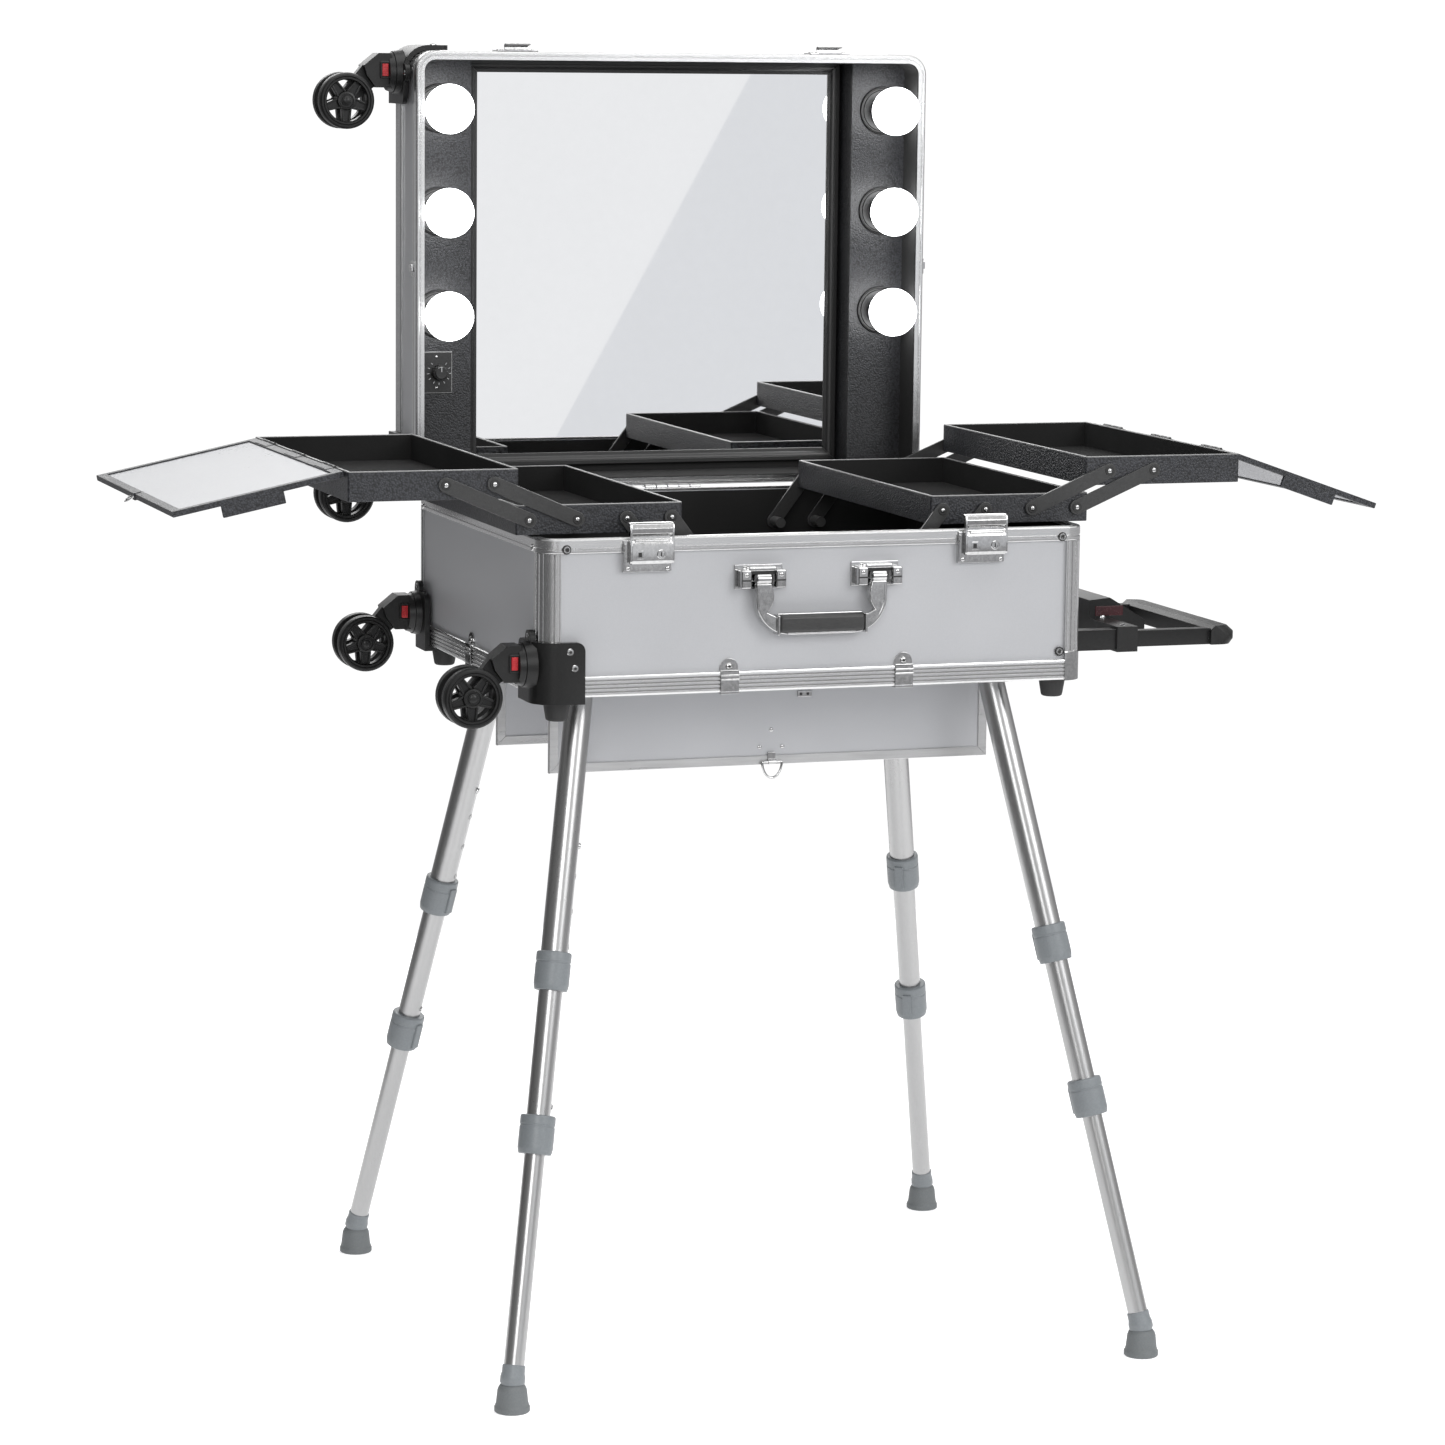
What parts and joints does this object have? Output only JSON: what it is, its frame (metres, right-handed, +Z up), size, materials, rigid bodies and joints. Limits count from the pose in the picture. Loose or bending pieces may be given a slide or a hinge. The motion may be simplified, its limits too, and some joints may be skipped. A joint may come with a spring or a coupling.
{
  "type": "makeup train case",
  "caption": "Rolling hard makeup case opened on splayed telescopic legs, with a lit mirror in its lid, stepped folding trays and a side trolley handle.",
  "frame": {"origin": "on the floor, midway between the outer ends of the open object in X and in Y", "axes": "+X to the right as seen by a person sitting in front of the mirror, +Y away from them to the back of the case, +Z up"},
  "size_m": [1.1974, 0.6146, 1.2383],
  "materials": {
    "bright_extrusion": "bright anodised grooved extrusion",
    "silver_board": "silver grey laminate on thin board, satin",
    "door_board": "silver grey laminate on thin board with aluminium edge",
    "lid_leatherette": "black pebbled leatherette over board",
    "mirror_glass": "silvered glass",
    "bulb_white": "frosted white lamp globe",
    "tray_leatherette": "black pebbled leatherette over board",
    "cover_plate": "pale grey plate in a black frame",
    "black_link": "black painted flat steel",
    "chrome_fitting": "bright nickel plated steel",
    "trolley_black": "black coated tube and moulded black plastic",
    "black_plastic": "moulded black plastic",
    "wheel_black": "moulded black plastic wheel",
    "leg_tube": "satin drawn tube with grey plastic collar or boot"
  },
  "bodies": {
    "base": {"base_frame": "bright_extrusion", "base_shell": "silver_board", "leg_front_left_upper": "leg_tube", "leg_front_right_upper": "leg_tube", "leg_rear_left_upper": "leg_tube", "leg_rear_right_upper": "leg_tube", "wheel_bracket_base_front": "black_plastic", "wheel_bracket_base_rear": "black_plastic"},
    "lid": {"lid_frame": "bright_extrusion", "lid_shell": "silver_board", "light_panel_left": "lid_leatherette", "light_panel_right": "lid_leatherette", "mirror": "mirror_glass", "bulb_left_top": "bulb_white", "bulb_left_middle": "bulb_white", "bulb_left_bottom": "bulb_white", "bulb_right_top": "bulb_white", "bulb_right_middle": "bulb_white", "bulb_right_bottom": "bulb_white", "wheel_bracket_lid_top": "black_plastic", "wheel_bracket_lid_bottom": "black_plastic"},
    "link_lower_left_outer": {"link_lower_left_outer": "black_link"},
    "link_lower_left_inner": {"link_lower_left_inner": "black_link"},
    "tray_lower_left": {"tray_lower_left": "tray_leatherette"},
    "link_upper_left_outer": {"link_upper_left_outer": "black_link"},
    "link_upper_left_inner": {"link_upper_left_inner": "black_link"},
    "tray_upper_left": {"tray_upper_left": "tray_leatherette"},
    "cover_left": {"cover_left": "cover_plate"},
    "link_lower_right_outer": {"link_lower_right_outer": "black_link"},
    "link_lower_right_inner": {"link_lower_right_inner": "black_link"},
    "tray_lower_right": {"tray_lower_right": "tray_leatherette"},
    "link_upper_right_outer": {"link_upper_right_outer": "black_link"},
    "link_upper_right_inner": {"link_upper_right_inner": "black_link"},
    "tray_upper_right": {"tray_upper_right": "tray_leatherette"},
    "cover_right": {"cover_right": "cover_plate"},
    "bay_door_front": {"bay_door_front": "door_board"},
    "bay_door_rear": {"bay_door_rear": "door_board"},
    "bay_pull_ring": {"bay_pull_ring": "chrome_fitting"},
    "front_handle": {"front_handle": "chrome_fitting"},
    "latch_left": {"latch_left": "chrome_fitting"},
    "latch_right": {"latch_right": "chrome_fitting"},
    "trolley_sleeves": {"trolley_sleeves": "trolley_black"},
    "trolley_handle": {"trolley_handle": "trolley_black"},
    "caster_base_front": {"caster_base_front": "black_plastic"},
    "wheel_base_front": {"wheel_base_front": "wheel_black"},
    "caster_base_rear": {"caster_base_rear": "black_plastic"},
    "wheel_base_rear": {"wheel_base_rear": "wheel_black"},
    "caster_lid_top": {"caster_lid_top": "black_plastic"},
    "wheel_lid_top": {"wheel_lid_top": "wheel_black"},
    "caster_lid_bottom": {"caster_lid_bottom": "black_plastic"},
    "wheel_lid_bottom": {"wheel_lid_bottom": "wheel_black"},
    "dimmer_knob": {"dimmer_knob": "black_plastic"},
    "leg_front_left_middle": {"leg_front_left_middle": "leg_tube"},
    "leg_front_left_lower": {"leg_front_left_lower": "leg_tube"},
    "leg_front_right_middle": {"leg_front_right_middle": "leg_tube"},
    "leg_front_right_lower": {"leg_front_right_lower": "leg_tube"},
    "leg_rear_left_middle": {"leg_rear_left_middle": "leg_tube"},
    "leg_rear_left_lower": {"leg_rear_left_lower": "leg_tube"},
    "leg_rear_right_middle": {"leg_rear_right_middle": "leg_tube"},
    "leg_rear_right_lower": {"leg_rear_right_lower": "leg_tube"}
  },
  "joints": [
    {"name": "lid_hinge", "type": "hinge", "parent": "base", "child": "lid", "pos_m": [0.00266, 0.219, 0.796], "axis": [1, 0, 0], "range_deg": [0, 34]},
    {"name": "tray_fold_left", "type": "hinge", "parent": "base", "child": "link_lower_left_outer", "pos_m": [-0.13923, -0.187, 0.76183], "axis": [0, 1, 0], "range_deg": [0, 92.58]},
    {"name": "link_lower_left_inner_turn", "type": "hinge", "parent": "base", "child": "link_lower_left_inner", "pos_m": [-0.09583, -0.187, 0.76183], "axis": [0, 1, 0], "range_deg": [0, 92.59]},
    {"name": "tray_lower_left_level", "type": "hinge", "parent": "link_lower_left_outer", "child": "tray_lower_left", "pos_m": [-0.17534, -0.187, 0.80975], "axis": [0, 1, 0], "range_deg": [-92.59, 0]},
    {"name": "link_upper_left_outer_turn", "type": "hinge", "parent": "tray_lower_left", "child": "link_upper_left_outer", "pos_m": [-0.26934, -0.187, 0.80975], "axis": [0, 1, 0], "range_deg": [0, 133.41]},
    {"name": "link_upper_left_inner_turn", "type": "hinge", "parent": "tray_lower_left", "child": "link_upper_left_inner", "pos_m": [-0.22334, -0.187, 0.80975], "axis": [0, 1, 0], "range_deg": [0, 133.41]},
    {"name": "tray_upper_left_level", "type": "hinge", "parent": "link_upper_left_outer", "child": "tray_upper_left", "pos_m": [-0.34832, -0.187, 0.84377], "axis": [0, 1, 0], "range_deg": [-133.41, 0]},
    {"name": "cover_left_hinge", "type": "hinge", "parent": "tray_upper_left", "child": "cover_left", "pos_m": [-0.44031, 0, 0.85782], "axis": [0, 1, 0], "range_deg": [0, 192]},
    {"name": "tray_fold_right", "type": "hinge", "parent": "base", "child": "link_lower_right_outer", "pos_m": [0.14455, -0.187, 0.76183], "axis": [0, -1, 0], "range_deg": [0, 92.58]},
    {"name": "link_lower_right_inner_turn", "type": "hinge", "parent": "base", "child": "link_lower_right_inner", "pos_m": [0.10115, -0.187, 0.76183], "axis": [0, -1, 0], "range_deg": [0, 92.59]},
    {"name": "tray_lower_right_level", "type": "hinge", "parent": "link_lower_right_outer", "child": "tray_lower_right", "pos_m": [0.18066, -0.187, 0.80975], "axis": [0, -1, 0], "range_deg": [-92.59, 0]},
    {"name": "link_upper_right_outer_turn", "type": "hinge", "parent": "tray_lower_right", "child": "link_upper_right_outer", "pos_m": [0.27466, -0.187, 0.80975], "axis": [0, -1, 0], "range_deg": [0, 133.41]},
    {"name": "link_upper_right_inner_turn", "type": "hinge", "parent": "tray_lower_right", "child": "link_upper_right_inner", "pos_m": [0.22866, -0.187, 0.80975], "axis": [0, -1, 0], "range_deg": [0, 133.41]},
    {"name": "tray_upper_right_level", "type": "hinge", "parent": "link_upper_right_outer", "child": "tray_upper_right", "pos_m": [0.35365, -0.187, 0.84377], "axis": [0, -1, 0], "range_deg": [-133.41, 0]},
    {"name": "cover_right_hinge", "type": "hinge", "parent": "tray_upper_right", "child": "cover_right", "pos_m": [0.44563, 0, 0.85782], "axis": [0, -1, 0], "range_deg": [0, 199]},
    {"name": "bay_door_front_hinge", "type": "hinge", "parent": "base", "child": "bay_door_front", "pos_m": [0.00266, -0.092, 0.649], "axis": [1, 0, 0], "range_deg": [0, 90]},
    {"name": "bay_door_rear_hinge", "type": "hinge", "parent": "base", "child": "bay_door_rear", "pos_m": [0.00266, 0.092, 0.649], "axis": [-1, 0, 0], "range_deg": [0, 90]},
    {"name": "bay_pull_ring_swing", "type": "hinge", "parent": "bay_door_front", "child": "bay_pull_ring", "pos_m": [0.00266, -0.0946, 0.5605], "axis": [-1, 0, 0], "range_deg": [0, 100]},
    {"name": "front_handle_swing", "type": "hinge", "parent": "base", "child": "front_handle", "pos_m": [0.00266, -0.225, 0.754], "axis": [-1, 0, 0], "range_deg": [0, 90]},
    {"name": "latch_left_turn", "type": "hinge", "parent": "base", "child": "latch_left", "pos_m": [-0.16234, -0.2225, 0.771], "axis": [1, 0, 0], "range_deg": [0, 110]},
    {"name": "latch_right_turn", "type": "hinge", "parent": "base", "child": "latch_right", "pos_m": [0.16766, -0.2225, 0.771], "axis": [1, 0, 0], "range_deg": [0, 110]},
    {"name": "trolley_sleeves_slide", "type": "slide", "parent": "base", "child": "trolley_sleeves", "axis": [-1, 0, 0], "range_m": [-0.08, 0.076]},
    {"name": "trolley_handle_slide", "type": "slide", "parent": "trolley_sleeves", "child": "trolley_handle", "axis": [-1, 0, 0], "range_m": [-0.1, 0.04]},
    {"name": "caster_base_front_swivel", "type": "hinge", "parent": "base", "child": "caster_base_front", "pos_m": [-0.27894, -0.196, 0.678], "axis": [1, 0, 0], "continuous": true},
    {"name": "wheel_base_front_spin", "type": "hinge", "parent": "caster_base_front", "child": "wheel_base_front", "pos_m": [-0.32834, -0.196, 0.65], "axis": [0, 1, 0], "continuous": true},
    {"name": "caster_base_rear_swivel", "type": "hinge", "parent": "base", "child": "caster_base_rear", "pos_m": [-0.27894, 0.196, 0.678], "axis": [1, 0, 0], "continuous": true},
    {"name": "wheel_base_rear_spin", "type": "hinge", "parent": "caster_base_rear", "child": "wheel_base_rear", "pos_m": [-0.32834, 0.196, 0.65], "axis": [0, 1, 0], "continuous": true},
    {"name": "caster_lid_top_swivel", "type": "hinge", "parent": "lid", "child": "caster_lid_top", "pos_m": [-0.27894, 0.272, 1.211], "axis": [1, 0, 0], "continuous": true},
    {"name": "wheel_lid_top_spin", "type": "hinge", "parent": "caster_lid_top", "child": "wheel_lid_top", "pos_m": [-0.32834, 0.272, 1.183], "axis": [0, 1, 0], "continuous": true},
    {"name": "caster_lid_bottom_swivel", "type": "hinge", "parent": "lid", "child": "caster_lid_bottom", "pos_m": [-0.27894, 0.272, 0.819], "axis": [1, 0, 0], "continuous": true},
    {"name": "wheel_lid_bottom_spin", "type": "hinge", "parent": "caster_lid_bottom", "child": "wheel_lid_bottom", "pos_m": [-0.32834, 0.272, 0.791], "axis": [0, 1, 0], "continuous": true},
    {"name": "dimmer_knob_turn", "type": "hinge", "parent": "lid", "child": "dimmer_knob", "pos_m": [-0.23369, 0.258, 0.9125], "axis": [0, 1, 0], "range_deg": [-135, 135]},
    {"name": "leg_front_left_middle_slide", "type": "slide", "parent": "base", "child": "leg_front_left_middle", "axis": [0.1674, 0.2384, 0.9566], "range_m": [0, 0.11]},
    {"name": "leg_front_left_lower_slide", "type": "slide", "parent": "leg_front_left_middle", "child": "leg_front_left_lower", "axis": [0.1674, 0.2384, 0.9566], "range_m": [0, 0.17]},
    {"name": "leg_front_right_middle_slide", "type": "slide", "parent": "base", "child": "leg_front_right_middle", "axis": [-0.1674, 0.2384, 0.9566], "range_m": [0, 0.11]},
    {"name": "leg_front_right_lower_slide", "type": "slide", "parent": "leg_front_right_middle", "child": "leg_front_right_lower", "axis": [-0.1674, 0.2384, 0.9566], "range_m": [0, 0.17]},
    {"name": "leg_rear_left_middle_slide", "type": "slide", "parent": "base", "child": "leg_rear_left_middle", "axis": [0.1674, -0.2384, 0.9566], "range_m": [0, 0.11]},
    {"name": "leg_rear_left_lower_slide", "type": "slide", "parent": "leg_rear_left_middle", "child": "leg_rear_left_lower", "axis": [0.1674, -0.2384, 0.9566], "range_m": [0, 0.17]},
    {"name": "leg_rear_right_middle_slide", "type": "slide", "parent": "base", "child": "leg_rear_right_middle", "axis": [-0.1674, -0.2384, 0.9566], "range_m": [0, 0.11]},
    {"name": "leg_rear_right_lower_slide", "type": "slide", "parent": "leg_rear_right_middle", "child": "leg_rear_right_lower", "axis": [-0.1674, -0.2384, 0.9566], "range_m": [0, 0.17]}
  ],
  "couplings": [
    {"joint": "link_lower_left_inner_turn", "follows": "tray_fold_left", "ratio": 1},
    {"joint": "tray_lower_left_level", "follows": "tray_fold_left", "ratio": -1},
    {"joint": "link_upper_left_outer_turn", "follows": "tray_fold_left", "ratio": 1.4409},
    {"joint": "link_upper_left_inner_turn", "follows": "tray_fold_left", "ratio": 1.4409},
    {"joint": "tray_upper_left_level", "follows": "tray_fold_left", "ratio": -1.4409},
    {"joint": "link_lower_right_inner_turn", "follows": "tray_fold_right", "ratio": 1},
    {"joint": "tray_lower_right_level", "follows": "tray_fold_right", "ratio": -1},
    {"joint": "link_upper_right_outer_turn", "follows": "tray_fold_right", "ratio": 1.4409},
    {"joint": "link_upper_right_inner_turn", "follows": "tray_fold_right", "ratio": 1.4409},
    {"joint": "tray_upper_right_level", "follows": "tray_fold_right", "ratio": -1.4409}
  ]
}
